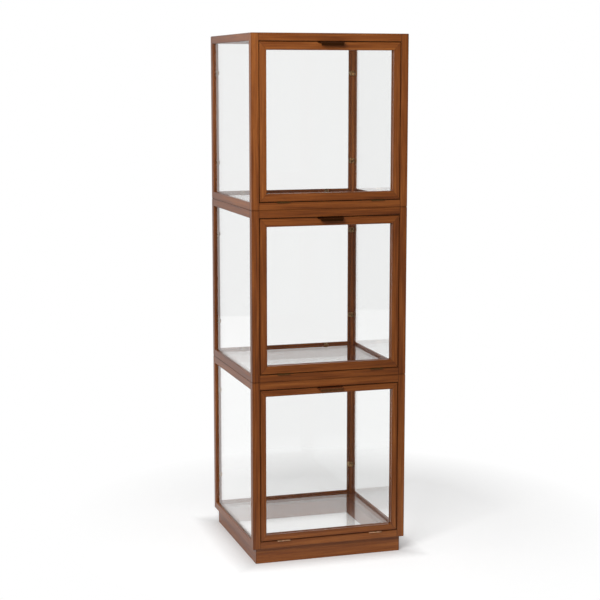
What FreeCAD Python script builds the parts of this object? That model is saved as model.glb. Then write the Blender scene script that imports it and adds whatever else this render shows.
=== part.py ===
import FreeCAD, Part
import math
import os

# Glass display cabinet: three stacked glazed tiers on a recessed plinth, each with a drop-down glass door.
# Millimetres. X runs to the right, Y to the back and Z up; the origin is on the floor, under the middle of
# the whole outline, pulls included.

V = FreeCAD.Vector

# Overall sizes
WIDTH = 420.0
DEPTH = 420.0
TIER_HEIGHT = 444.0
PLINTH_HEIGHT = 41.0
PLINTH_INSET = 10.0
PLINTH_BOARD = 20.0
TIERS = ("lower", "middle", "upper")

# Frame members: square posts, with rails of the same depth between them
POST = 20.0
TOP_RAIL = 20.0
BOTTOM_RAIL = 19.0
CORNER_EASE = 1.5
TIER_EASE = 1.3
ARRIS = 0.6

# Stub tenons of the rails
TENON_LENGTH = 7.0
TENON_SETBACK = 3.0
TENON_WALL = 2.0
MORTISE_SIDE_PLAY = 0.05
MORTISE_END_PLAY = 0.5

# Glass and the rebates that it sits in
GLASS = 4.0
PANE_SETBACK = 5.0
REBATE = 6.0
PANE_PLAY = 0.5
FLOOR_LEDGE = 9.0
ROOF_LEDGE = 4.0

# Doors: the lower one has slimmer members than the two above it
DOOR_GAP = 2.0
DOOR_STOP_PLAY = 0.2
DOOR_STILE = 18.0
DOOR_RAIL = 20.5
LOWER_DOOR_STILE = 14.5
LOWER_DOOR_RAIL = 16.0
DOOR_GLASS_SETBACK = 10.0
DOOR_ARRIS = 1.0
BEAD_PLAY = 0.2

# Butt hinges in the gap under each door
HINGE_LENGTH = 34.0
HINGE_SPREAD = 254.0
HINGE_LEAF = 0.9
HINGE_LEAF_DEPTH = 12.0
HINGE_PLAY = 0.2
KNUCKLE_DIAMETER = 4.0
KNUCKLE_STANDOFF = 0.3
KNUCKLE_GAP = 0.3
PIN_DIAMETER = 2.0
PIN_PLAY = 0.05
BARREL_SIDES = 14
GRIP_SIDES = 6

# Folded sheet pull on the top edge of each door
PULL_LENGTH = 70.0
PULL_SHEET = 2.0
PULL_REACH = 15.0
PULL_DROP = 9.5
PULL_LEG = 13.0
PULL_BEND = 3.5
PULL_TAPER = 5.0
PULL_LIP_TAPER = 1.0

# Stop strips round the back of each door, and a stop block with a magnet behind its top rail
STRIP_LAP = 6.0
STRIP_THICKNESS = 6.0
STOP_LENGTH = 60.0
STOP_THICKNESS = 7.0
STOP_DROP = 12.0
MAGNET_LENGTH = 14.0
MAGNET_HEIGHT = 5.0
MAGNET_DEPTH = 5.0
STRIKE_LENGTH = 20.0
STRIKE_HEIGHT = 6.0
STRIKE_THICKNESS = 1.2
CATCH_DROP = 6.0
CATCH_PLAY = 0.05

# Angle clips that hold the panes in their rebates
CLIP_LENGTH = 14.0
CLIP_SHEET = 1.2
CLIP_TONGUE = 7.0
CLIP_MARGIN = 0.4
CLIP_CORNER = 3.5
CLIP_SPREAD = 246.0
RAIL_CLIP_TIERS = ("middle", "upper")
SCREW_HEAD_DIAMETER = 2.6
SCREW_HEAD = 0.9
SCREW_DIAMETER = 1.6
SCREW_LENGTH = 6.0
SCREW_OFFSET = 4.0
SCREW_PLAY = 0.05
SCREW_SIDES = 6

# Loose tenons between the tiers, and the screws that hold the lowest tier on the plinth
STACK_TENON_LENGTH = 24.0
STACK_TENON_THICKNESS = 5.0
STACK_TENON_HEIGHT = 12.0
STACK_TENON_PLAY = 0.05
PLINTH_SCREW_SPREAD = 240.0
PLINTH_SCREW_DIAMETER = 3.5
PLINTH_SCREW_HEAD_DIAMETER = 5.4
PLINTH_SCREW_LENGTH = 28.0

# Places that follow from those sizes
FRONT = (PULL_REACH - DEPTH) / 2
BACK = (PULL_REACH + DEPTH) / 2
LEFT, RIGHT = -1, 1
FRONT_END, REAR_END = -1, 1
FRONT_RAIL, REAR_RAIL, SIDE_RAIL = "front", "rear", "side"
CORE = POST - REBATE
PANE_FACE = PANE_SETBACK + GLASS
SILL = BOTTOM_RAIL - REBATE
HEAD = TIER_HEIGHT - TOP_RAIL + REBATE
ROOF_SEAT = TIER_HEIGHT - TOP_RAIL + ROOF_LEDGE
FLOOR_TOP = FLOOR_LEDGE + GLASS + PANE_PLAY
TENON_EDGE = CORE - TENON_WALL
MORTISE_DEPTH = TENON_LENGTH + MORTISE_END_PLAY
DOOR_THICKNESS = POST - DOOR_STOP_PLAY
DOOR_HALF = WIDTH / 2 - POST - DOOR_GAP
DOOR_FOOT = BOTTOM_RAIL + 2 * HINGE_LEAF + HINGE_PLAY
DOOR_TOP = TIER_HEIGHT - TOP_RAIL - DOOR_GAP
HINGE_Y = FRONT - KNUCKLE_DIAMETER / 2 - KNUCKLE_STANDOFF
HINGE_Z = BOTTOM_RAIL + HINGE_LEAF + HINGE_PLAY / 2
CATCH_Z = DOOR_TOP - CATCH_DROP
CLIP_SEAT = CORE - PANE_FACE - CLIP_MARGIN
SCREW_LINE = (CLIP_SHEET + CLIP_SEAT) / 2


# Small tools

def tier_base(tier):
    """Height of a tier's underside above the floor."""
    return PLINTH_HEIGHT + TIERS.index(tier) * TIER_HEIGHT


def from_side(side, distance):
    """X of a plane at a distance in from the left or right outer face."""
    return side * (WIDTH / 2 - distance)


def from_end(end, distance):
    """Y of a plane at a distance in from the front or rear outer face."""
    return FRONT + distance if end == FRONT_END else BACK - distance


def box(x, y, z):
    """Box between pairs of planes, given in either order."""
    low = V(min(x), min(y), min(z))
    high = V(max(x), max(y), max(z))
    return Part.makeBox(high.x - low.x, high.y - low.y, high.z - low.z, low)


def corner_box(side, end, across, along, z):
    """Box at a corner of the plan, given by its distances in from the outer side and end faces."""
    x = [from_side(side, distance) for distance in across]
    y = [from_end(end, distance) for distance in along]
    return box(x, y, z)


def outline(corners, place):
    """Closed wire round corners of two distances and an easing, put in space by place(a, b).

    A positive easing rounds its corner by that radius, and a negative one cuts it off flat.
    """
    joins = []
    for index, (a, b, easing) in enumerate(corners):
        here = V(a, b, 0)
        before = V(*corners[index - 1][:2], 0)
        after = V(*corners[(index + 1) % len(corners)][:2], 0)
        back = (before - here).normalize()
        ahead = (after - here).normalize()
        half = back.getAngle(ahead) / 2
        reach = easing / math.tan(half) if easing > 0 else -easing
        bisector = (back + ahead).normalize()
        middle = here + bisector * (easing / math.sin(half) - easing)
        joins.append((here + back * reach, middle, here + ahead * reach, easing))
    edges = []
    for index, (start, middle, end, easing) in enumerate(joins):
        if easing > 0:
            arc = Part.Arc(place(start.x, start.y), place(middle.x, middle.y), place(end.x, end.y))
            edges.append(arc.toShape())
        if easing < 0:
            edges.append(Part.makeLine(place(start.x, start.y), place(end.x, end.y)))
        following = joins[(index + 1) % len(joins)][0]
        edges.append(Part.makeLine(place(end.x, end.y), place(following.x, following.y)))
    return Part.Wire(edges)


def prism(corners, place, run):
    """Solid made by running an outline along a vector."""
    solid = Part.Face(outline(corners, place)).extrude(run)
    if solid.Volume < 0:
        solid.reverse()
    return solid


def rod(diameter, start, run):
    """Round bar from a point along a vector."""
    return Part.makeCylinder(diameter / 2, run.Length, start, run)


def polygon(sides, diameter, centre, axis):
    """Closed wire round a regular polygon, square to an axis."""
    arm = axis.cross(V(axis.y, axis.z, axis.x)).normalize() * (diameter / 2)
    turn = 360 / sides
    corners = [centre + FreeCAD.Rotation(axis, turn * step).multVec(arm) for step in range(sides)]
    return Part.makePolygon(corners + corners[:1])


def facet_rod(sides, diameter, start, run):
    """Flat-sided bar from a point along a vector, for a round one too small to need its curve."""
    bar = Part.Face(polygon(sides, diameter, start, run)).extrude(run)
    if bar.Volume < 0:
        bar.reverse()
    return bar


def joined(solid, *others):
    """One solid out of several that touch."""
    return solid.fuse(list(others)).removeSplitter()


def edges_where(solid, test):
    """Edges whose middle point passes a test."""
    return [edge for edge in solid.Edges if test(edge.CenterOfMass)]


def near(value, target):
    return abs(value - target) < 1e-4


def save(name, solids):
    """Write one node, which holds one solid or a group of them."""
    shape = solids[0] if len(solids) == 1 else Part.makeCompound(solids)
    shape.exportStep(os.path.join("parts", name + ".step"))


# Angle clips: a tongue on the pane and a seat on the wood, with one screw through the seat

def clip_places(tier):
    """Frames of a tier's clips: the origin is where pane and seat meet, at the middle of the clip.

    The first axis points away from the seat, the second away from the pane, and the third along the clip.
    Clips on side and back panes run opposite ways, so that the two screws in a rear post pass each other.
    """
    base = tier_base(tier)
    middle = base + (SILL + HEAD) / 2
    frames = []
    for side in (LEFT, RIGHT):
        inward = V(-side, 0, 0)
        for z in (middle - CLIP_SPREAD / 2, middle + CLIP_SPREAD / 2):
            for end in (FRONT_END, REAR_END):
                towards = V(0, -end, 0)
                on_side_pane = V(from_side(side, PANE_FACE), from_end(end, CORE), z)
                frames.append((on_side_pane, towards, inward, V(0, 0, 1)))
            on_back_pane = V(from_side(side, CORE), from_end(REAR_END, PANE_FACE), z)
            frames.append((on_back_pane, inward, V(0, -1, 0), V(0, 0, -1)))
        if tier in RAIL_CLIP_TIERS:
            on_rail = V(side * CLIP_SPREAD / 2, from_end(REAR_END, PANE_FACE), base + SILL)
            frames.append((on_rail, V(0, 0, 1), V(0, -1, 0), inward))
    return frames


def angle_clip(origin, off_seat, off_pane, along):
    """Brass angle with a corner-cut tongue that lies on the pane."""
    corners = [
        (0, 0, 0),
        (CLIP_TONGUE, 0, 0),
        (CLIP_TONGUE, CLIP_SHEET, 0),
        (CLIP_SHEET, CLIP_SHEET, 0),
        (CLIP_SHEET, CLIP_SEAT, 0),
        (0, CLIP_SEAT, 0),
    ]
    start = origin - along * (CLIP_LENGTH / 2)
    clip = prism(corners, lambda a, b: start + off_seat * a + off_pane * b, along * CLIP_LENGTH)
    tip = (origin + off_seat * CLIP_TONGUE).dot(off_seat)
    corner_edges = [
        edge
        for edge in clip.Edges
        if near(edge.CenterOfMass.dot(off_seat), tip) and near(edge.Length, CLIP_SHEET)
    ]
    clip = clip.makeChamfer(CLIP_CORNER, corner_edges)
    return clip.cut(screw_hole(origin, off_seat, off_pane, along))


def screw_seat(origin, off_seat, off_pane, along):
    """Point under a screw head, off the clip's middle."""
    return origin + off_seat * CLIP_SHEET + off_pane * SCREW_LINE + along * SCREW_OFFSET


def screw_hole(origin, off_seat, off_pane, along):
    """Hole through the clip's seat and into the wood."""
    start = screw_seat(origin, off_seat, off_pane, along)
    reach = CLIP_SHEET + SCREW_LENGTH + MORTISE_END_PLAY
    return facet_rod(SCREW_SIDES, SCREW_DIAMETER + 2 * SCREW_PLAY, start, off_seat * -reach)


def clip_screw(origin, off_seat, off_pane, along):
    """Pan-head screw on the clip's seat."""
    seat = screw_seat(origin, off_seat, off_pane, along)
    head = facet_rod(SCREW_SIDES, SCREW_HEAD_DIAMETER, seat, off_seat * SCREW_HEAD)
    shank = facet_rod(SCREW_SIDES, SCREW_DIAMETER, seat, off_seat * -(CLIP_SHEET + SCREW_LENGTH))
    return joined(head, shank)


def clip_holes(tier):
    return [screw_hole(*frame) for frame in clip_places(tier)]


# Loose tenons between tiers

def stack_tenons(play):
    """Bars in the middle of the rails, across every joint between two tiers."""
    inset = (CORE - STACK_TENON_THICKNESS) / 2 - play
    across = (inset, CORE - inset)
    half_length = STACK_TENON_LENGTH / 2 + play
    half_height = STACK_TENON_HEIGHT / 2 + play
    middle_y = (FRONT + BACK) / 2
    bars = []
    for tier in TIERS[1:]:
        z = (tier_base(tier) - half_height, tier_base(tier) + half_height)
        for end in (FRONT_END, REAR_END):
            bars.append(box((-half_length, half_length), [from_end(end, distance) for distance in across], z))
        for side in (LEFT, RIGHT):
            x = [from_side(side, distance) for distance in across]
            bars.append(box(x, (middle_y - half_length, middle_y + half_length), z))
    return bars


# Frame of a tier

def tenon_heights(kind):
    """Height ranges of the bottom and top tenons of a kind of rail above the tier's underside."""
    seat = FLOOR_LEDGE if kind == SIDE_RAIL else SILL
    return (
        (TENON_SETBACK, seat - TENON_WALL),
        (HEAD + TENON_WALL, TIER_HEIGHT - TENON_SETBACK),
    )


def mortises(side, end, base):
    """Pockets of one post for the tenons of its cross rails and side rails."""
    depth = (POST - MORTISE_DEPTH, POST)
    width = (TENON_SETBACK - MORTISE_SIDE_PLAY, TENON_EDGE + MORTISE_SIDE_PLAY)
    cross = FRONT_RAIL if end == FRONT_END else REAR_RAIL
    pockets = []
    for kind, across, along in ((cross, depth, width), (SIDE_RAIL, width, depth)):
        for low, high in tenon_heights(kind):
            z = (base + low - MORTISE_SIDE_PLAY, base + high + MORTISE_SIDE_PLAY)
            pockets.append(corner_box(side, end, across, along, z))
    return pockets


def post(side, end, tier):
    """Post with stopped rebates for the panes, notches for floor and roof, and mortises for the rails.

    A side pane goes into the narrow rebate of the front post first, and swings into the open one at the rear.
    """
    base = tier_base(tier)
    corners = [
        (0, 0, -CORNER_EASE),
        (POST, 0, -ARRIS),
        (POST, POST, 0),
        (0, POST, -ARRIS),
    ]
    solid = prism(
        corners,
        lambda a, b: V(from_side(side, a), from_end(end, b), base),
        V(0, 0, TIER_HEIGHT),
    )
    outer_ends = edges_where(
        solid,
        lambda p: (near(p.z, base) or near(p.z, base + TIER_HEIGHT))
        and (abs(p.x - from_side(side, 0)) < CORNER_EASE or abs(p.y - from_end(end, 0)) < CORNER_EASE)
        and abs(p.x - from_side(side, POST)) > ARRIS
        and abs(p.y - from_end(end, POST)) > ARRIS,
    )
    solid = solid.makeChamfer(TIER_EASE, outer_ends)
    open_rebate = (PANE_SETBACK, POST)
    narrow_rebate = (PANE_SETBACK, CORE)
    notch = (CORE, POST)
    side_run = (base + FLOOR_LEDGE, base + HEAD)
    cuts = mortises(side, end, base)
    if end == FRONT_END:
        cuts.append(corner_box(side, end, narrow_rebate, notch, side_run))
        cuts.append(corner_box(side, end, open_rebate, notch, (base + FLOOR_LEDGE, base + FLOOR_TOP)))
    if end == REAR_END:
        cuts.append(corner_box(side, end, open_rebate, notch, side_run))
        cuts.append(corner_box(side, end, notch, open_rebate, (base + SILL, base + HEAD)))
    cuts.append(corner_box(side, end, notch, notch, (base + ROOF_SEAT, base + TIER_HEIGHT)))
    return solid.cut(cuts + clip_holes(tier))


def bottom_section(kind):
    """Section of a bottom rail, from its outer face inwards and from its underside up.

    The front rail holds no pane. The rear one has a sill for its pane above the floor's ledge, and on the sides
    the pane stands on that ledge, between the rail's lip and the edge of the floor.
    """
    lip = [(PANE_SETBACK, BOTTOM_RAIL, 0), (0, BOTTOM_RAIL, -ARRIS)]
    steps = {
        FRONT_RAIL: [(CORE, FLOOR_LEDGE, 0), (CORE, BOTTOM_RAIL, 0), (0, BOTTOM_RAIL, -ARRIS)],
        REAR_RAIL: [(CORE, FLOOR_LEDGE, 0), (CORE, SILL, 0), (PANE_SETBACK, SILL, 0)] + lip,
        SIDE_RAIL: [(PANE_SETBACK, FLOOR_LEDGE, 0)] + lip,
    }
    return [(0, 0, -TIER_EASE), (POST, 0, 0), (POST, FLOOR_LEDGE, 0)] + steps[kind]


def top_section(kind):
    """Section of a top rail, with a groove for the pane's upper edge where it holds one."""
    foot = TIER_HEIGHT - TOP_RAIL
    groove_end = PANE_FACE + PANE_PLAY
    groove = [(PANE_SETBACK, foot, 0), (PANE_SETBACK, HEAD, 0), (groove_end, HEAD, 0), (groove_end, foot, 0)]
    return [(0, foot, -ARRIS)] + ([] if kind == FRONT_RAIL else groove) + [
        (POST, foot, 0),
        (POST, ROOF_SEAT, 0),
        (CORE, ROOF_SEAT, 0),
        (CORE, TIER_HEIGHT, 0),
        (0, TIER_HEIGHT, -TIER_EASE),
    ]


def sections(kind):
    """Bottom and top sections of a kind of rail, each with the height range of its tenons."""
    bottom, top = tenon_heights(kind)
    return ((bottom_section(kind), bottom), (top_section(kind), top))


def cross_rail(end, section, tenon, base):
    """Rail along X between two posts."""
    x = (from_side(LEFT, POST), from_side(RIGHT, POST))
    bar = prism(section, lambda a, b: V(x[0], from_end(end, a), base + b), V(x[1] - x[0], 0, 0))
    y = (from_end(end, TENON_SETBACK), from_end(end, TENON_EDGE))
    z = (base + tenon[0], base + tenon[1])
    return joined(bar, box((x[0] - TENON_LENGTH, x[1] + TENON_LENGTH), y, z))


def side_rail(side, section, tenon, base):
    """Rail along Y between two posts."""
    y = (from_end(FRONT_END, POST), from_end(REAR_END, POST))
    bar = prism(section, lambda a, b: V(from_side(side, a), y[0], base + b), V(0, y[1] - y[0], 0))
    x = (from_side(side, TENON_SETBACK), from_side(side, TENON_EDGE))
    z = (base + tenon[0], base + tenon[1])
    return joined(bar, box(x, (y[0] - TENON_LENGTH, y[1] + TENON_LENGTH), z))


def frame_rails(tier):
    """Cross rails and side rails of a tier."""
    base = tier_base(tier)
    cuts = clip_holes(tier) + stack_tenons(STACK_TENON_PLAY)
    if tier == TIERS[0]:
        cuts += [plinth_screw_hole(point) for point in plinth_screw_places()]
    cross = []
    sides = []
    for end, kind in ((FRONT_END, FRONT_RAIL), (REAR_END, REAR_RAIL)):
        for section, tenon in sections(kind):
            cross.append(cross_rail(end, section, tenon, base).cut(cuts))
    for side in (LEFT, RIGHT):
        for section, tenon in sections(SIDE_RAIL):
            sides.append(side_rail(side, section, tenon, base).cut(cuts))
    return cross, sides


# Glass of a tier

def side_pane(side, tier):
    base = tier_base(tier)
    edge = CORE + PANE_PLAY
    x = (from_side(side, PANE_SETBACK), from_side(side, PANE_FACE))
    y = (from_end(FRONT_END, edge), from_end(REAR_END, edge))
    return box(x, y, (base + FLOOR_LEDGE, base + HEAD - PANE_PLAY))


def back_pane(tier):
    base = tier_base(tier)
    edge = CORE + PANE_PLAY
    x = (from_side(LEFT, edge), from_side(RIGHT, edge))
    y = (from_end(REAR_END, PANE_SETBACK), from_end(REAR_END, PANE_FACE))
    return box(x, y, (base + SILL, base + HEAD - PANE_PLAY))


def level_pane(seat, side_edge, tier):
    """Floor or roof pane, laid on its ledges at a height, with its side edges a distance in from the sides."""
    edge = CORE + PANE_PLAY
    x = (from_side(LEFT, side_edge), from_side(RIGHT, side_edge))
    y = (from_end(FRONT_END, edge), from_end(REAR_END, edge))
    z = tier_base(tier) + seat
    return box(x, y, (z, z + GLASS))


# Door

def door_members(tier):
    """Widths of a door's stiles and rails."""
    if tier == TIERS[0]:
        return LOWER_DOOR_STILE, LOWER_DOOR_RAIL
    return DOOR_STILE, DOOR_RAIL


def mitred(outer, inner):
    """Four mitred outlines of a frame, left, right, bottom and top, between two rectangles (x, z)."""
    (ox, oz), (ix, iz) = outer, inner
    left = [(ox[0], oz[0]), (ix[0], iz[0]), (ix[0], iz[1]), (ox[0], oz[1])]
    right = [(ox[1], oz[0]), (ox[1], oz[1]), (ix[1], iz[1]), (ix[1], iz[0])]
    bottom = [(ox[0], oz[0]), (ox[1], oz[0]), (ix[1], iz[0]), (ix[0], iz[0])]
    top = [(ox[0], oz[1]), (ix[0], iz[1]), (ix[1], iz[1]), (ox[1], oz[1])]
    return left, right, bottom, top


def grown(rectangle, margin):
    """Rectangle moved out on all four sides."""
    (x0, x1), (z0, z1) = rectangle
    return (x0 - margin, x1 + margin), (z0 - margin, z1 + margin)


def slab(points, y):
    """Solid with a straight-sided front outline between two planes."""
    corners = [(a, b, 0) for a, b in points]
    return prism(corners, lambda a, b: V(a, y[0], b), V(0, y[1] - y[0], 0))


def door_outline(tier):
    base = tier_base(tier)
    return (-DOOR_HALF, DOOR_HALF), (base + DOOR_FOOT, base + DOOR_TOP)


def door_opening(tier):
    """Sight opening of a door."""
    (x0, x1), (z0, z1) = door_outline(tier)
    stile, rail = door_members(tier)
    return (x0 + stile, x1 - stile), (z0 + rail, z1 - rail)


def door_frame(tier):
    """Mitred stiles and rails, rebated at the back for the glass."""
    outer = door_outline(tier)
    inner = door_opening(tier)
    y = (FRONT, FRONT + DOOR_THICKNESS)
    seat_x, seat_z = grown(inner, REBATE)
    rebate = box(seat_x, (FRONT + DOOR_GLASS_SETBACK, y[1]), seat_z)
    base = tier_base(tier)
    cuts = [rebate, pull_mortise(base), strike(tier, CATCH_PLAY)]
    members = []
    for points in mitred(outer, inner):
        member = slab(points, y)
        long_edges = [
            edge
            for edge in edges_where(member, lambda p: near(p.y, FRONT))
            if near(edge.BoundBox.XLength, 0) or near(edge.BoundBox.ZLength, 0)
        ]
        members.append(member.makeChamfer(DOOR_ARRIS, long_edges).cut(cuts))
    return members[:2], members[2:]


def door_pane(tier):
    x, z = grown(door_opening(tier), REBATE - PANE_PLAY)
    foot = z[0] - PANE_PLAY
    front = FRONT + DOOR_GLASS_SETBACK
    return box(x, (front, front + GLASS), (foot, z[1]))


def door_beads(tier):
    """Mitred glazing beads behind the door's pane."""
    inner = door_opening(tier)
    outer = grown(inner, REBATE - BEAD_PLAY)
    y = (FRONT + DOOR_GLASS_SETBACK + GLASS, FRONT + DOOR_THICKNESS)
    return [slab(points, y) for points in mitred(outer, inner)]


# Hinges

def hinge_centres():
    return (-HINGE_SPREAD / 2, HINGE_SPREAD / 2)


def knuckle_spans(centre):
    """X ranges of the three knuckles of a hinge."""
    length = (HINGE_LENGTH - 2 * KNUCKLE_GAP) / 3
    starts = [centre - HINGE_LENGTH / 2 + index * (length + KNUCKLE_GAP) for index in range(3)]
    return [(start, start + length) for start in starts]


def hinge_leaf(centre, spans, z, axis_z, bore):
    """Leaf plate with its knuckles round the pin."""
    plate_x = (centre - HINGE_LENGTH / 2, centre + HINGE_LENGTH / 2)
    plate = box(plate_x, (FRONT, FRONT + HINGE_LEAF_DEPTH), z)
    pieces = []
    for x in spans:
        start = V(x[0], HINGE_Y, axis_z)
        run = V(x[1] - x[0], 0, 0)
        pieces.append(box(x, (HINGE_Y, FRONT), z))
        pieces.append(facet_rod(BARREL_SIDES, KNUCKLE_DIAMETER, start, run))
    return joined(plate, *pieces).cut(bore)


def hinges(tier):
    """Frame leaves, door leaves and pins of a tier's two hinges.

    The door leaf turns on the pin in a round bore, and the frame leaf holds the pin still in six-sided holes.
    """
    axis_z = tier_base(tier) + HINGE_Z
    half = HINGE_PLAY / 2
    bore = PIN_DIAMETER + 2 * PIN_PLAY
    across_corners = bore / math.cos(math.pi / GRIP_SIDES)
    frame_leaves = []
    door_leaves = []
    pins = []
    for centre in hinge_centres():
        first, middle, last = knuckle_spans(centre)
        below = (axis_z - half - HINGE_LEAF, axis_z - half)
        above = (axis_z + half, axis_z + half + HINGE_LEAF)
        start = V(centre - HINGE_LENGTH / 2, HINGE_Y, axis_z)
        run = V(HINGE_LENGTH, 0, 0)
        grip = facet_rod(GRIP_SIDES, across_corners, start, run)
        frame_leaves.append(hinge_leaf(centre, (first, last), below, axis_z, grip))
        door_leaves.append(hinge_leaf(centre, (middle,), above, axis_z, rod(bore, start, run)))
        pins.append(rod(PIN_DIAMETER, start, run))
    return frame_leaves, door_leaves, pins


# Pull

def pull_mortise(base):
    """Seat of the pull's leg in the top edge of the door."""
    top = base + DOOR_TOP
    half = PULL_LENGTH / 2
    return box((-half, half), (FRONT - PULL_REACH, FRONT + PULL_LEG), (top - PULL_SHEET, top + DOOR_GAP))


def pull(tier):
    """Sheet folded down at the front, with ends that taper in plan and down the lip."""
    top = tier_base(tier) + DOOR_TOP
    half = PULL_LENGTH / 2
    nose = FRONT - PULL_REACH
    tail = FRONT + PULL_LEG
    fold = [
        (tail, top, 0),
        (nose, top, PULL_BEND),
        (nose, top - PULL_DROP, -ARRIS),
        (nose + PULL_SHEET, top - PULL_DROP, -ARRIS),
        (nose + PULL_SHEET, top - PULL_SHEET, PULL_BEND - PULL_SHEET),
        (tail, top - PULL_SHEET, 0),
    ]
    sheet = prism(fold, lambda a, b: V(-half, a, b), V(PULL_LENGTH, 0, 0))
    tip = half - PULL_TAPER
    plan = [
        (-half, tail, 0),
        (-half, FRONT, 0),
        (-tip, nose, 0),
        (tip, nose, 0),
        (half, FRONT, 0),
        (half, tail, 0),
    ]
    in_plan = prism(plan, lambda a, b: V(a, b, top - PULL_DROP), V(0, 0, PULL_DROP))
    end = tip - PULL_LIP_TAPER
    shoulder = top - PULL_BEND
    front = [
        (-half, top, 0),
        (-half, shoulder, 0),
        (-tip, shoulder, 0),
        (-end, top - PULL_DROP, 0),
        (end, top - PULL_DROP, 0),
        (tip, shoulder, 0),
        (half, shoulder, 0),
        (half, top, 0),
    ]
    in_front = prism(front, lambda a, b: V(a, nose, b), V(0, tail - nose, 0))
    return sheet.common(in_plan).common(in_front).Solids[0]


# Stops and catch

def stop_strips(tier):
    """Strips that close the gaps round the door: a sill, two uprights, and a head on each side of the block."""
    base = tier_base(tier)
    lap = POST + DOOR_GAP + STRIP_LAP
    back = POST + STRIP_THICKNESS
    sill_top = base + DOOR_FOOT - PANE_PLAY
    sill_x = (from_side(LEFT, POST), from_side(RIGHT, POST))
    sill_y = (from_end(FRONT_END, CORE), from_end(FRONT_END, back))
    strips = [box(sill_x, sill_y, (base + FLOOR_TOP, sill_top))]
    upright = [(CORE, POST, 0), (lap, POST, 0), (lap, back, -ARRIS), (CORE, back, 0)]
    run = V(0, 0, base + TIER_HEIGHT - TOP_RAIL - sill_top)
    head_y = (from_end(FRONT_END, POST), from_end(FRONT_END, back))
    head_z = (base + DOOR_TOP - STRIP_LAP, base + ROOF_SEAT)
    for side in (LEFT, RIGHT):
        strips.append(prism(upright, lambda a, b: V(from_side(side, a), from_end(FRONT_END, b), sill_top), run))
        strips.append(box((from_side(side, lap), side * STOP_LENGTH / 2), head_y, head_z))
    return strips


def stop_block(tier):
    """Block on the back of the front top rail that the closed door rests against."""
    base = tier_base(tier)
    y = (FRONT + POST, FRONT + POST + STOP_THICKNESS)
    z = (base + TIER_HEIGHT - TOP_RAIL - STOP_DROP, base + ROOF_SEAT)
    block = box((-STOP_LENGTH / 2, STOP_LENGTH / 2), y, z)
    return block.cut(magnet(tier, CATCH_PLAY))


def magnet(tier, play):
    """Bar magnet let into the front of the stop block."""
    half = MAGNET_LENGTH / 2 + play
    front = FRONT + POST
    return catch_box(tier, half, MAGNET_HEIGHT / 2 + play, (front, front + MAGNET_DEPTH + play))


def strike(tier, play):
    """Steel plate let into the back of the door, opposite the magnet."""
    half = STRIKE_LENGTH / 2 + play
    back = FRONT + DOOR_THICKNESS
    return catch_box(tier, half, STRIKE_HEIGHT / 2 + play, (back - STRIKE_THICKNESS - play, back))


def catch_box(tier, half_length, half_height, y):
    """Box about the catch line of a tier."""
    z = tier_base(tier) + CATCH_Z
    return box((-half_length, half_length), y, (z - half_height, z + half_height))


# Plinth

def plinth_boards():
    """Four boards mitred at the corners."""
    outer_x = (from_side(LEFT, PLINTH_INSET), from_side(RIGHT, PLINTH_INSET))
    outer_y = (from_end(FRONT_END, PLINTH_INSET), from_end(REAR_END, PLINTH_INSET))
    inner_x, inner_y = grown((outer_x, outer_y), -PLINTH_BOARD)
    boards = []
    for points in mitred((outer_x, outer_y), (inner_x, inner_y)):
        corners = [(a, b, 0) for a, b in points]
        board = prism(corners, lambda a, b: V(a, b, 0), V(0, 0, PLINTH_HEIGHT))
        boards.append(board.cut([plinth_screw_hole(point) for point in plinth_screw_places()]))
    return boards


def plinth_screw_places():
    """Points on the floor ledges, over the plinth's boards."""
    ledge = (CORE + POST) / 2
    z = PLINTH_HEIGHT + FLOOR_LEDGE
    middle_y = (FRONT + BACK) / 2
    points = []
    for step in (-PLINTH_SCREW_SPREAD / 2, PLINTH_SCREW_SPREAD / 2):
        points += [V(step, from_end(end, ledge), z) for end in (FRONT_END, REAR_END)]
        points += [V(from_side(side, ledge), middle_y + step, z) for side in (LEFT, RIGHT)]
    return points


def countersunk(point, play):
    """Countersunk screw whose head is flush with the ledge."""
    head = PLINTH_SCREW_HEAD_DIAMETER + 2 * play
    shank = PLINTH_SCREW_DIAMETER + 2 * play
    neck = point - V(0, 0, (head - shank) / 2)
    down = V(0, 0, -1)
    rims = [polygon(SCREW_SIDES, head, point, down), polygon(SCREW_SIDES, shank, neck, down)]
    tip = point - V(0, 0, PLINTH_SCREW_LENGTH + play)
    return joined(Part.makeLoft(rims, True, True), facet_rod(SCREW_SIDES, shank, neck, tip - neck))


def plinth_screw_hole(point):
    return countersunk(point, SCREW_PLAY)


# Nodes

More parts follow.
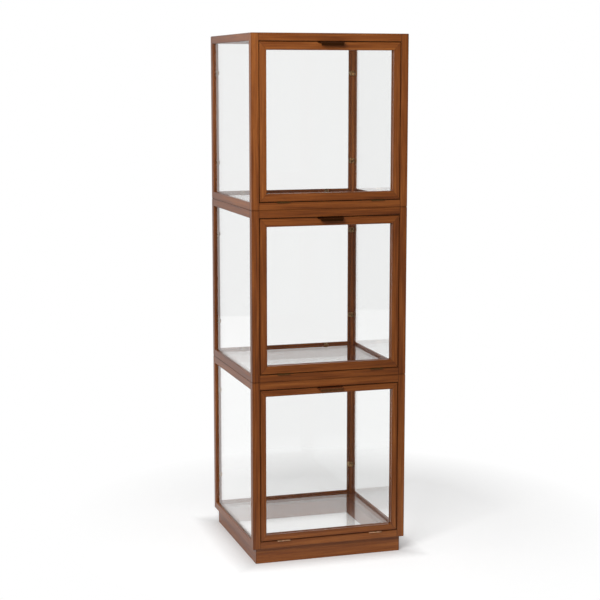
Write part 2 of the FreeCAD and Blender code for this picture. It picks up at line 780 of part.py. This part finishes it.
def build_tier(tier):
    """Frame, glass and door of one tier; returns the hardware that tiers share nodes for."""
    cross, sides = frame_rails(tier)
    corners = [(side, end) for side in (LEFT, RIGHT) for end in (FRONT_END, REAR_END)]
    save(tier + "_posts", [post(side, end, tier) for side, end in corners])
    save(tier + "_cross_rails", cross)
    save(tier + "_side_rails", sides)
    save(tier + "_left_pane", [side_pane(LEFT, tier)])
    save(tier + "_right_pane", [side_pane(RIGHT, tier)])
    save(tier + "_back_pane", [back_pane(tier)])
    save(tier + "_floor_pane", [level_pane(FLOOR_LEDGE, PANE_FACE + PANE_PLAY, tier)])
    save(tier + "_roof_pane", [level_pane(ROOF_SEAT, CORE + PANE_PLAY, tier)])
    stiles, rails = door_frame(tier)
    frame_leaves, door_leaves, pins = hinges(tier)
    save(tier + "_door_stiles", stiles)
    save(tier + "_door_rails", rails)
    save(tier + "_door_pane", [door_pane(tier)])
    save(tier + "_door_beads", door_beads(tier))
    save(tier + "_door_pull", [pull(tier)])
    save(tier + "_door_hinge_leaves", door_leaves)
    save(tier + "_door_strike", [strike(tier, 0)])
    return {
        "frame_hinge_leaves": frame_leaves,
        "hinge_pins": pins,
        "glass_clips": [angle_clip(*frame) for frame in clip_places(tier)],
        "clip_screws": [clip_screw(*frame) for frame in clip_places(tier)],
        "door_stops": [stop_block(tier)],
        "door_stop_strips": stop_strips(tier),
        "catch_magnets": [magnet(tier, 0)],
    }


def main():
    os.makedirs("parts", exist_ok=True)
    shared = {}
    for tier in TIERS:
        for name, solids in build_tier(tier).items():
            shared.setdefault(name, []).extend(solids)
    for name, solids in shared.items():
        save(name, solids)
    save("stacking_tenons", stack_tenons(0))
    for name, board in zip(("left", "right", "front", "rear"), plinth_boards()):
        save("plinth_" + name, [board])
    save("plinth_screws", [countersunk(point, 0) for point in plinth_screw_places()])


main()
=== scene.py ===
# %% [markdown]
# # A glass display cabinet
# Three glazed tiers stand on a low plinth, and each has a glass door that drops forward on brass hinges.
# The construction is already made and placed, so this lesson starts from it as a fixed frame. The other way
# would be to model the cabinet again here, but then every joint and gap would have to be found twice.

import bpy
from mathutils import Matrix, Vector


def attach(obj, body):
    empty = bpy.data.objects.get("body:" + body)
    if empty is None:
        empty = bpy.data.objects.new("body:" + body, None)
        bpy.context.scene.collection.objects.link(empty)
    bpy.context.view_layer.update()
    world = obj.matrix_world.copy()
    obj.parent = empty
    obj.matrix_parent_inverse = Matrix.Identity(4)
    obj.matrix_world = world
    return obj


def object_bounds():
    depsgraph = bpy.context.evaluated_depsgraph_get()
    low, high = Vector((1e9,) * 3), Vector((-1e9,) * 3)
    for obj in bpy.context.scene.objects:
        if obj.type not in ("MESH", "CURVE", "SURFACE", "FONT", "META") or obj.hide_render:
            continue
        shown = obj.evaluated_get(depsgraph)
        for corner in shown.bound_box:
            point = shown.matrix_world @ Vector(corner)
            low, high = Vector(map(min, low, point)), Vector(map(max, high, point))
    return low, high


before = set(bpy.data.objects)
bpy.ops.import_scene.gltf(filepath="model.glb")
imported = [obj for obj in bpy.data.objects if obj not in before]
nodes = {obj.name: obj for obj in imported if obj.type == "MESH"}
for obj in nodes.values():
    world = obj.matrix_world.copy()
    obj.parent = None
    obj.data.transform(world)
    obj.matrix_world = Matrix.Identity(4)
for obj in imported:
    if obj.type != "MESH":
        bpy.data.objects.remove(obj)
cad_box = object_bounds()

# %% [markdown]
# ## Camera
# The photograph was taken with a long lens, a little above the middle of the cabinet and to its left. A
# camera could be placed by eye, but this one was fitted to the corners of the three tiers, so its numbers
# are given straight. It has no shift, so that it can be carried round the cabinet for other views.

# %% Place the camera
import math

import bpy
from mathutils import Vector

LENS = 90.693
CAMERA_PLACE = Vector((-1.2109, -3.8774, 1.2664))
CAMERA_TILT = math.radians(81.561)
CAMERA_TURN = math.radians(-17.073)

scene = bpy.context.scene
scene.view_settings.view_transform = "Standard"

camera = bpy.data.objects.new("camera", bpy.data.cameras.new("camera"))
camera.data.sensor_width = 36.0
camera.data.lens = LENS
camera.location = CAMERA_PLACE
camera.rotation_euler = (CAMERA_TILT, 0.0, CAMERA_TURN)
scene.collection.objects.link(camera)
scene.camera = camera
cabinet_middle = (Vector(cad_box[0]) + Vector(cad_box[1])) / 2
print("camera stands", round((CAMERA_PLACE - cabinet_middle).length, 2), "m from the cabinet's middle")

# %% [markdown]
# ## Shader sums as Python
# A finish is a sum of patterns. Wiring Math nodes by hand is slow to read, so one small class wraps a
# socket: adding or multiplying two of them adds the Math node, and one method adds any other kind of node.


# %% A socket that can be added and multiplied
def fill_ramp(elements, stops):
    """Give a colour ramp its stops, each a position and a grey or a colour."""
    for index, (position, colour) in enumerate(stops):
        stop = elements[index] if index < len(elements) else elements.new(position)
        stop.position = position
        stop.color = (*colour, 1.0) if isinstance(colour, tuple) else (colour, colour, colour, 1.0)


class Wire:
    """An output socket in a material; sums on wires become Math nodes."""

    def __init__(self, tree, socket=None):
        self.tree = tree
        self.socket = socket

    def node(self, kind, settings=None, sockets=None, out=0):
        """Add a node of any kind: its settings come first, then the values or links of its sockets."""
        made = self.tree.nodes.new("ShaderNode" + kind)
        for name, value in (settings or {}).items():
            if name == "stops":
                fill_ramp(made.color_ramp.elements, value)
            else:
                setattr(made, name, value)
        for key, value in (sockets or {}).items():
            if isinstance(value, Wire):
                self.tree.links.new(value.socket, made.inputs[key])
            else:
                made.inputs[key].default_value = value
        return Wire(self.tree, made.outputs[out]) if made.outputs else made

    def math(self, operation, first, second=0.0):
        return self.node("Math", {"operation": operation}, {0: first, 1: second})

    def __add__(self, other):
        return self.math("ADD", self, other)

    def __sub__(self, other):
        return self.math("SUBTRACT", self, other)

    def __rsub__(self, other):
        return self.math("SUBTRACT", other, self)

    def __mul__(self, other):
        return self.math("MULTIPLY", self, other)

    def __pow__(self, other):
        return self.math("POWER", self, other)

    def __gt__(self, other):
        return self.math("GREATER_THAN", self, other)

    def __abs__(self):
        return self.math("ABSOLUTE", self)

    __radd__ = __add__
    __rmul__ = __mul__


print("shader sums ready")

# %% [markdown]
# A few steps come back in every finish: reading one axis of a place, sending a value through a ramp, laying
# one colour over another, and closing the material. Each gets a short name here.


# %% Steps that every finish uses
def axis_of(vector, axis):
    """One component of a vector."""
    return vector.node("SeparateXYZ", {}, {0: vector}, axis)


def ramp(value, *stops):
    """A value sent through a colour ramp."""
    return value.node("ValToRGB", {"stops": stops}, {0: value})


def laid_over(start, share, under, over):
    """A colour with a share of another over it."""
    under, over = (c if isinstance(c, Wire) else (*c, 1.0) for c in (under, over))
    return start.node("Mix", {"data_type": "RGBA"}, {0: share, 6: under, 7: over}, 2)


def new_finish(name):
    """An empty material, and a wire to start from."""
    finish = bpy.data.materials.new(name)
    finish.use_nodes = True
    finish.node_tree.nodes.clear()
    return finish, Wire(finish.node_tree)


def close_with(start, shader):
    """Send a shader to the material's output."""
    start.node("OutputMaterial", {}, {"Surface": shader})


def dress(names, finish):
    """Give a finish to pieces of the cabinet."""
    for name in names:
        for slot in nodes[name].material_slots:
            slot.material = finish


print("slots to dress:", sum(len(piece.material_slots) for piece in nodes.values()))

# %% [markdown]
# ## Stained wood
# The frame is a straight-grained hardwood under brown stain and satin lacquer. Grain could be an image, but
# noise that is drawn out along a member gives it at any size and never repeats. Four layers are summed: a
# slow drift of tone from member to member, growth bands, fine streaks, and pores, which are short dark
# dashes. Each tier is also given its own shade, and the middle one is the darkest. The
# patterns read object coordinates, so the only thing that differs between a post and a rail is the
# direction in which they are drawn out.

# %% Draw out the grain
TIER_FOOT = 0.041
TIER_HEIGHT = 0.444
# The features of each layer, across the grain and along it, in metres.
DRIFT = (0.06, 0.9)
BANDS = (0.011, 0.26)
STREAKS = (0.0028, 0.1)
PORES = (0.0006, 0.012)
# The shade of the lower tier, and the steps from there to the tiers above it.
LOWER_SHADE = 0.032
MIDDLE_STEP = -0.057
UPPER_STEP = 0.045


def grain(start, place, along, features):
    """Noise whose features have one size across the grain and another along it."""
    across, length = features
    scale = [1 / across] * 3
    scale["xyz".index(along)] = 1 / length
    at = start.node("Mapping", {}, {"Vector": place, "Scale": scale})
    sockets = {"Vector": at, "Scale": 1.0, "Detail": 3.0, "Roughness": 0.55}
    return start.node("TexNoise", {}, sockets, "Fac")


def wood_layers(start, along):
    """Tone, streaks and pores of wood whose grain runs along an axis."""
    place = start.node("TexCoord", out="Object")
    drift = grain(start, place, along, DRIFT)
    bands = grain(start, place, along, BANDS)
    streaks = grain(start, place, along, STREAKS)
    pores = ramp(grain(start, place, along, PORES), (0.56, 0.0), (0.68, 1.0))
    above_foot = axis_of(place, "Z") - TIER_FOOT
    middle_up = above_foot > TIER_HEIGHT
    upper_up = above_foot > 2 * TIER_HEIGHT
    shade = LOWER_SHADE + MIDDLE_STEP * middle_up + UPPER_STEP * upper_up
    tone = 0.28 * drift + 0.34 * bands + 0.38 * streaks + shade
    return tone, streaks, pores


print("grain from", 1000 * PORES[0], "to", 1000 * DRIFT[0], "mm across")

# %% [markdown]
# Painted shade darkens the edges, and the seams between the tiers, where a shadow line would fall. A Bevel
# node rounds the normal close to an edge, so an edge is where that normal and the flat face disagree, and a
# seam is found by height. End grain drinks more stain than the sides of a member, and is found by the
# direction in which a face looks.

# %% Find the edges, seams and end grain
EDGE_WIDTH = 0.0028
END_FACING = 0.8


def painted_edge_shade(start):
    """Painted shade: one close to an edge, and about half in the seam between two tiers."""
    rounded = start.node("Bevel", {"samples": 4}, {"Radius": EDGE_WIDTH})
    flat = start.node("NewGeometry", out="True Normal")
    agree = start.node("VectorMath", {"operation": "DOT_PRODUCT"}, {0: rounded, 1: flat}, "Value")
    # Painted shade along every edge that the Bevel node finds.
    edge = ramp(1 - agree, (0.02, 0.0), (0.16, 1.0))
    height = axis_of(start.node("TexCoord", out="Object"), "Z")
    in_tier = start.math("MODULO", height - TIER_FOOT + 0.5 * TIER_HEIGHT, TIER_HEIGHT)
    from_seam = abs(in_tier - 0.5 * TIER_HEIGHT)
    # Painted shade in the shadow line of the seam between two tiers.
    seam = ramp(from_seam, (0.0012, 0.45), (0.0032, 0.0))
    return start.math("MAXIMUM", edge, seam)


def end_faces(start, along):
    """One on faces that look along the grain."""
    facing = axis_of(start.node("TexCoord", out="Normal"), along.upper())
    return abs(facing) > END_FACING


print("edges darken over", 1000 * EDGE_WIDTH, "mm")

# %% [markdown]
# The tone picks a colour between three stains. Pores and end grain are laid over it in darker ones, and
# painted shade over the edges and seams.
# The streaks and pores dent the surface a little and dull it, and a thin coat stands for the lacquer.

# %% Mix the stain and lacquer
STAIN_DARK = (0.092, 0.020, 0.0025)
STAIN = (0.212, 0.055, 0.0065)
STAIN_LIGHT = (0.335, 0.104, 0.018)
# The colour of the painted shade at the edges and seams.
EDGE_SHADE_COLOUR = (0.020, 0.006, 0.002)
PORE_SHARE = 0.45
END_SHARE = 0.55
EDGE_SHADE_SHARE = 0.6


def lacquered(start, tone, streaks, pores, ends=0.0):
    """Stain and lacquer over a set of wood layers, with painted shade at the edges and seams."""
    colour = ramp(tone, (0.345, STAIN_DARK), (0.5, STAIN), (0.655, STAIN_LIGHT))
    deepened = laid_over(start, PORE_SHARE * pores, colour, STAIN_DARK)
    ended = laid_over(start, END_SHARE * ends, deepened, STAIN_DARK)
    # Painted shade laid over the edges and the seams between tiers.
    stain_and_edge_shade = laid_over(start, EDGE_SHADE_SHARE * painted_edge_shade(start), ended, EDGE_SHADE_COLOUR)
    dents = 0.35 * streaks - 0.65 * pores
    sockets = {
        "Base Color": stain_and_edge_shade,
        "Roughness": 0.38 + 0.14 * streaks + 0.12 * pores,
        "Normal": start.node("Bump", {}, {"Strength": 0.35, "Distance": 0.0004, "Height": dents}),
        "Specular IOR Level": 0.28,
        "Coat Weight": 0.2,
        "Coat Roughness": 0.22,
    }
    close_with(start, start.node("BsdfPrincipled", {}, sockets))


def stained_wood(along):
    """The finish of members whose grain runs along an axis."""
    finish, start = new_finish("stained_wood_along_" + along)
    lacquered(start, *wood_layers(start, along), end_faces(start, along))
    return finish


print("three stains from", STAIN_DARK, "to", STAIN_LIGHT)

# %% [markdown]
# A joiner cuts every member with the grain along its length, so posts and stiles run upright, rails across,
# and the rails of the sides front to back. Each direction gets one finish.

# %% Stain the members
TIERS = ("lower", "middle", "upper")
GRAIN = {
    "z": [t + end for t in TIERS for end in ("_posts", "_door_stiles")],
    "x": [t + end for t in TIERS for end in ("_cross_rails", "_door_rails")],
    "y": [t + "_side_rails" for t in TIERS],
}
GRAIN["x"] += ["plinth_front", "plinth_rear", "door_stops"]
GRAIN["y"] += ["plinth_left", "plinth_right"]
GRAIN["z"] += ["door_stop_strips"]
for along, names in GRAIN.items():
    dress(names, stained_wood(along))
    print("grain along", along, "on", len(names), "pieces")

# %% [markdown]
# The glazing beads of a door are one group of four, two upright and two level. The two grains are made in
# one finish, and the side of the mitre line on which a point lies picks between them.

# %% Stain the glazing beads
BEAD_MIDDLE = 0.2215
BEAD_MITRE = -0.0105


def mitred_beads():
    """Wood with the grain upright beside the mitre lines and level above and below them."""
    finish, start = new_finish("stained_wood_mitred")
    place = start.node("TexCoord", out="Object")
    across = abs(axis_of(place, "X"))
    in_tier = start.math("MODULO", axis_of(place, "Z") - TIER_FOOT, TIER_HEIGHT)
    upright = across - abs(in_tier - BEAD_MIDDLE) > BEAD_MITRE
    level = 1 - upright
    layers = zip(wood_layers(start, "z"), wood_layers(start, "x"))
    lacquered(start, *[a * upright + b * level for a, b in layers])
    return finish


dress([t + "_door_beads" for t in TIERS], mitred_beads())
print("beads stained on", len(TIERS), "doors")

# %% [markdown]
# ## Clear glass
# A pane lets nearly all light straight through and mirrors the rest, more the flatter one looks along it. A
# glass shader that bends light would be truer in a bottle, but in a flat 4 mm pane the bend can't be seen,
# and lamps would cast dark shadows through it. So a see-through shader and a mirror are mixed by the share
# that a face of glass reflects: a little over 3 % head on, and up to all of it at a glancing angle. A thin
# film of handling dulls the mirror in patches. Light crosses many panes here, so more crossings than usual
# are allowed.

# %% Glaze the tiers and doors
PASSED = (0.994, 0.996, 0.995, 1.0)
HEAD_ON = 0.033
CROSSINGS = 32


def clear_glass():
    """See-through, with a mirror that grows at a glancing angle."""
    finish, start = new_finish("clear_glass")
    facing = start.node("LayerWeight", {}, {"Blend": 0.5}, "Facing")
    share = HEAD_ON + (1 - HEAD_ON) * facing ** 5
    place = start.node("TexCoord", out="Object")
    film = start.node("TexNoise", {}, {"Vector": place, "Scale": 9.0, "Detail": 2.0}, "Fac")
    through = start.node("BsdfTransparent", {}, {"Color": PASSED})
    sockets = {"Base Color": (1, 1, 1, 1), "Metallic": 1.0, "Roughness": 0.01 + 0.02 * film}
    mirror = start.node("BsdfPrincipled", {}, sockets)
    close_with(start, start.node("MixShader", {}, {0: share, 1: through, 2: mirror}))
    return finish


PANES = ("_left_pane", "_right_pane", "_back_pane", "_floor_pane", "_roof_pane", "_door_pane")
dress([t + pane for t in TIERS for pane in PANES], clear_glass())
scene.cycles.transparent_max_bounces = CROSSINGS
print("panes glazed:", len(TIERS) * len(PANES))

# %% [markdown]
# ## Metal
# The hinges and clips are brass with a satin wear, the pulls are dark bronze, and the catch is plain steel.
# A metal's colour is in its reflection, so the nodes vary how rough it is, with fine brushing along the
# piece, and let tarnish show in patches. Above a given height a metal can also take its dull colour all
# over as painted shade, so that the hinges and the pull of the lower door are brighter than those above.

# %% Make the metals
BRUSHING = (0.0003, 0.02)
PATCHES = 160.0
OVER_THE_TOP = 2.0


def metal(name, bright, dull, rough, patch=1.0, painted_shade_above=OVER_THE_TOP):
    """Brushed metal with patches of tarnish, and its dull colour all over above a height as painted shade."""
    finish, start = new_finish(name)
    place = start.node("TexCoord", out="Object")
    patches = start.node("TexNoise", {}, {"Vector": place, "Scale": PATCHES, "Detail": 4.0}, "Fac")
    patchy = ramp(patches, (0.4, 0.0), (0.66, 1.0))
    # Real tarnish in patches, and painted shade in the dull colour above the height.
    tarnish_and_shade = start.math("MAXIMUM", patch * patchy, axis_of(place, "Z") > painted_shade_above)
    brushed = grain(start, place, "x", BRUSHING)
    sockets = {
        "Base Color": laid_over(start, tarnish_and_shade, bright, dull),
        "Metallic": 1.0,
        "Roughness": rough + 0.12 * brushed + 0.1 * tarnish_and_shade,
        "Normal": start.node("Bump", {}, {"Strength": 0.15, "Distance": 0.0001, "Height": brushed}),
        "Specular IOR Level": 0.25,
    }
    close_with(start, start.node("BsdfPrincipled", {}, sockets))
    return finish


BRASS = (0.88, 0.62, 0.34)
BRASS_RED = (0.95, 0.57, 0.34)
BRASS_DULL = (0.22, 0.12, 0.04)
# Above the lower door, the hinges and the pulls take the painted shade.
hinge_brass = metal("hinge_brass", BRASS_RED, BRASS_DULL, 0.22, patch=0.7, painted_shade_above=0.3)
clip_brass = metal("clip_brass", BRASS, BRASS_DULL, 0.22)
bronze = metal("dark_bronze", (0.46, 0.19, 0.075), (0.10, 0.033, 0.010), 0.34, patch=0.35, painted_shade_above=0.6)
steel = metal("plain_steel", (0.58, 0.58, 0.57), (0.38, 0.37, 0.36), 0.3)
print("metals:", hinge_brass.name, clip_brass.name, bronze.name, steel.name)

# %% [markdown]
# Each fitting takes the metal that it is made of in such a cabinet. The strikes are steel because the
# magnets in the stop blocks have to hold them.

# %% Give the fittings their metals
dress([t + "_door_hinge_leaves" for t in TIERS] + ["frame_hinge_leaves", "hinge_pins"], hinge_brass)
dress(["glass_clips", "clip_screws"], clip_brass)
dress([t + "_door_pull" for t in TIERS], bronze)
dress([t + "_door_strike" for t in TIERS] + ["catch_magnets", "plinth_screws"], steel)
print("fittings dressed on", len(TIERS), "tiers")

# %% [markdown]
# ## Hinge screws
# Three small countersunk screws hold each hinge leaf, and they show when a door is open. They could be
# drawn in the brass with a pattern, but a slot needs a real edge to catch the light, so each head is
# modelled: a disc is cut in two beside the slot, both halves are raised, and a dark disc of painted shade
# closes the bottom of the slot. The heads are almost flush, because the leaves lie 0.2 mm apart when the door
# is shut.

# %% Model a slotted screw head
import bmesh
from mathutils import Matrix

HEAD_RADIUS = 0.0018
HEAD_SIDES = 20
SLOT = 0.0005
RISE = 0.00007
SUNK = 0.00002


def half_round(head, side):
    """One side of a head: a disc cut off beside the slot, and raised."""
    bmesh.ops.create_circle(head, cap_ends=True, segments=HEAD_SIDES, radius=HEAD_RADIUS)
    disc = [face for face in head.faces if len(face.verts) == HEAD_SIDES]
    around = [part for face in disc for part in (*face.verts, *face.edges)]
    beside = (side * SLOT / 2, 0, 0)
    bmesh.ops.bisect_plane(head, geom=disc + around, plane_co=beside, plane_no=(side, 0, 0), clear_inner=True)
    kept = [face for face in head.faces if face.calc_center_median().x * side > 0]
    raised = bmesh.ops.extrude_face_region(head, geom=kept)["geom"]
    corners = [part for part in raised if isinstance(part, bmesh.types.BMVert)]
    bmesh.ops.translate(head, verts=corners, vec=(0, 0, RISE))


def slotted_head(place, turn, facing_down):
    """A whole head, with a dark disc of painted shade as the floor of its slot."""
    head = bmesh.new()
    half_round(head, 1)
    half_round(head, -1)
    round_plate = {"segments": HEAD_SIDES, "radius1": HEAD_RADIUS, "radius2": HEAD_RADIUS, "depth": SUNK}
    # A near-black disc of painted shade closes the floor of the slot.
    slot_shade_disc = bmesh.ops.create_cone(head, cap_ends=True, **round_plate)
    for face in {face for corner in slot_shade_disc["verts"] for face in corner.link_faces}:
        face.material_index = 1
    bmesh.ops.recalc_face_normals(head, faces=head.faces)
    over = Matrix.Rotation(math.pi if facing_down else 0.0, 4, "X")
    turned = Matrix.Translation(place) @ over @ Matrix.Rotation(math.radians(turn), 4, "Z")
    bmesh.ops.transform(head, matrix=turned, verts=head.verts)
    return head


print("head", 2000 * HEAD_RADIUS, "mm across with a slot of", 1000 * SLOT, "mm")

# %% [markdown]
# The leaf on the cabinet looks up and the leaf on the door looks down, so the heads go to two bodies. The
# slots are left at the angles at which a hand would leave them.

# %% Drive the hinge screws
HINGE_MIDDLES = (-0.127, 0.127)
LEAF_FRONT = -0.2025
FRAME_LEAF_TOP = 0.0199
DOOR_LEAF_FOOT = 0.0201
# Each screw's place along the leaf, its distance from the leaf's front, and the angle of its slot.
SPOTS = ((-0.0115, 0.0075, 20.0), (0.0, 0.0045, 75.0), (0.0115, 0.0075, 140.0))
TURN_PER_TIER = 30.0
# The near-black colour of the painted shade in the screw slots.
painted_slot_shade = metal("painted_slot_shade", (0.05, 0.03, 0.014), (0.03, 0.02, 0.01), 0.5)


def hinge_screws(name, body, tiers, above_foot, facing_down):
    """The screw heads of the hinge leaves that belong to one body."""
    group = bmesh.new()
    for tier in tiers:
        height = TIER_FOOT + tier * TIER_HEIGHT + above_foot
        for middle in HINGE_MIDDLES:
            for along, inwards, turn in SPOTS:
                place = (middle + along, LEAF_FRONT + inwards, height)
                head = slotted_head(place, turn + TURN_PER_TIER * tier, facing_down)
                one = bpy.data.meshes.new(name + "_one")
                head.to_mesh(one)
                head.free()
                group.from_mesh(one)
                bpy.data.meshes.remove(one)
    data = bpy.data.meshes.new(name)
    group.to_mesh(data)
    group.free()
    data.materials.append(hinge_brass)
    data.materials.append(painted_slot_shade)
    piece = bpy.data.objects.new(name, data)
    scene.collection.objects.link(piece)
    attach(piece, body)
    return len(data.polygons)


faces = hinge_screws("frame_hinge_screws", "cabinet", range(len(TIERS)), FRAME_LEAF_TOP, False)
print("cabinet screws:", faces, "faces")
for index, name in enumerate(TIERS):
    faces = hinge_screws(name + "_door_hinge_screws", name + "_door", (index,), DOOR_LEAF_FOOT, True)
    print(name, "door screws:", faces, "faces")

# %% [markdown]
# ## Bare wood
# The loose tenons between the tiers are never stained. They use the same grain layers, in a pale colour.

# %% Leave the tenons bare
BARE_DARK = (0.36, 0.22, 0.11)
BARE = (0.62, 0.44, 0.25)


def bare_wood():
    """Pale wood with an upright grain and no lacquer."""
    finish, start = new_finish("bare_wood")
    tone, streaks, pores = wood_layers(start, "z")
    sockets = {
        "Base Color": ramp(tone, (0.35, BARE_DARK), (0.6, BARE)),
        "Roughness": 0.6 + 0.2 * streaks,
        "Normal": start.node("Bump", {}, {"Strength": 0.3, "Distance": 0.0004, "Height": streaks - pores}),
    }
    close_with(start, start.node("BsdfPrincipled", {}, sockets))
    return finish


dress(["stacking_tenons"], bare_wood())
print("left bare:", nodes["stacking_tenons"].name)

# %% [markdown]
# ## Floor
# The cabinet stands on a wide white floor, which carries its soft shadow. It is a flat disc, so that no
# edge of it shows from any side.

# %% Lay the floor
FLOOR_RADIUS = 4.0

floor_mesh = bmesh.new()
bmesh.ops.create_circle(floor_mesh, cap_ends=True, segments=96, radius=FLOOR_RADIUS)
floor_data = bpy.data.meshes.new("floor")
floor_mesh.to_mesh(floor_data)
floor_mesh.free()
floor = bpy.data.objects.new("floor", floor_data)
scene.collection.objects.link(floor)
print("floor of radius", FLOOR_RADIUS, "m")

# %% [markdown]
# A floor of plain white would render pale grey, so near the cabinet a little of its own light is added for
# rays that come straight from the camera or through glass, and less of it close to the plinth, as a painted
# contact shadow that deepens the real one there. Further out the floor fades to pure white. Mirrors see the
# same white behind the cabinet, but on the camera's side the sweep ends and the floor is dark, and on the
# left it is a little greyer. Rays that only carry light get about half of that white from the far floor, so
# that it doesn't light the cabinet too much.

# %% Whiten the floor
PLINTH_HALF = 0.2
PLINTH_MIDDLE = 0.0075
FAR_LIGHT = 0.55

white_floor, start = new_finish("white_floor")
place = start.node("TexCoord", out="Object")
width = axis_of(place, "X")
depth = axis_of(place, "Y")

camera_ray = start.node("LightPath", out="Is Camera Ray")
glass_ray = start.node("LightPath", out="Is Transmission Ray")
mirror_ray = start.node("LightPath", out="Is Glossy Ray")
sweep = ramp(0.5 + 0.25 * depth, (0.3, 0.08), (0.46, 1.0))
beside = ramp(0.5 + 0.125 * width, (0.1, 0.72), (0.4, 1.0))
seen = start.math("MINIMUM", camera_ray + glass_ray + mirror_ray * sweep * beside, 1.0)
lighting = 1 - start.math("MINIMUM", camera_ray + glass_ray + mirror_ray, 1.0)

from_plinth = abs(start.math("MAXIMUM", abs(width), abs(depth - PLINTH_MIDDLE)) - PLINTH_HALF)
# Painted contact shadow: the floor's glow is weaker close to the plinth.
glow_with_painted_contact_shadow = ramp(from_plinth, (0.0, 0.15), (0.07, 0.47))
plain = start.node("BsdfDiffuse", {}, {"Color": (0.8, 0.8, 0.8, 1)})
glow = start.node("Emission", {}, {"Color": glow_with_painted_contact_shadow * seen, "Strength": 1.0})
near = start.node("AddShader", {}, {0: plain, 1: glow})
far = start.node("Emission", {}, {"Color": seen + FAR_LIGHT * lighting, "Strength": 1.0})

shaded_zone = {"Vector": place, "Location": (-0.06, -0.05, 0.0), "Scale": (0.42, 0.4, 1.0)}
around = start.node("Mapping", {}, shaded_zone)
distance = start.node("VectorMath", {"operation": "LENGTH"}, {0: around}, "Value")
fade = ramp(distance, (0.2, 0.0), (0.34, 1.0))
close_with(start, start.node("MixShader", {}, {0: fade, 1: near, 2: far}))
floor_data.materials.append(white_floor)
print("floor finish of", len(white_floor.node_tree.nodes), "nodes")

# %% [markdown]
# ## Light
# The world is white where the camera sees it and dimmer as a lamp. In mirrors it is white behind the
# cabinet, where the sweep stands, and dark on the camera's side, as a studio is, with a slightly greyer
# left.

# %% Surround the cabinet
AMBIENT = 0.33

world = bpy.data.worlds.new("studio")
world.use_nodes = True
world.node_tree.nodes.clear()
scene.world = world
start = Wire(world.node_tree)
towards = start.node("TexCoord", out="Generated")
behind = ramp(0.5 + 0.5 * axis_of(towards, "Y"), (0.35, 0.1), (0.62, 0.96))
beside = ramp(0.5 + 0.5 * axis_of(towards, "X"), (0.3, 0.72), (0.5, 1.0))
camera_ray = start.node("LightPath", out="Is Camera Ray")
mirror_ray = start.node("LightPath", out="Is Glossy Ray")
glass_ray = start.node("LightPath", out="Is Transmission Ray")
mirrored = start.math("MAXIMUM", mirror_ray, glass_ray)
brightness = camera_ray + (1 - camera_ray) * (mirrored * behind * beside + (1 - mirrored) * AMBIENT)
sky = start.node("Background", {}, {"Color": brightness, "Strength": 1.0})
start.node("OutputWorld", {}, {"Surface": sky})
print("world of", len(world.node_tree.nodes), "nodes")

# %% [markdown]
# One large soft lamp hangs at the front left. It gives the fronts of the members their light and throws the
# shadow to the right. A small hard lamp would draw sharp lines through the glass, which the photograph
# lacks.

# %% Hang the lamp
LAMP_PLACE = Vector((-1.2, -1.65, 1.9))
LAMP_TARGET = Vector((0.0, -0.2, 0.75))
LAMP_SIZE = 1.1
LAMP_POWER = 38.0

key_lamp = bpy.data.lights.new("key_lamp", "AREA")
key_lamp.shape = "SQUARE"
key_lamp.size = LAMP_SIZE
key_lamp.energy = LAMP_POWER
lamp = bpy.data.objects.new("key_lamp", key_lamp)
lamp.location = LAMP_PLACE
lamp.rotation_euler = (LAMP_TARGET - LAMP_PLACE).to_track_quat("-Z", "Y").to_euler()
lamp.visible_camera = False
scene.collection.objects.link(lamp)
print("lamp of", LAMP_POWER, "W hangs", round((LAMP_TARGET - LAMP_PLACE).length, 2), "m from the cabinet")
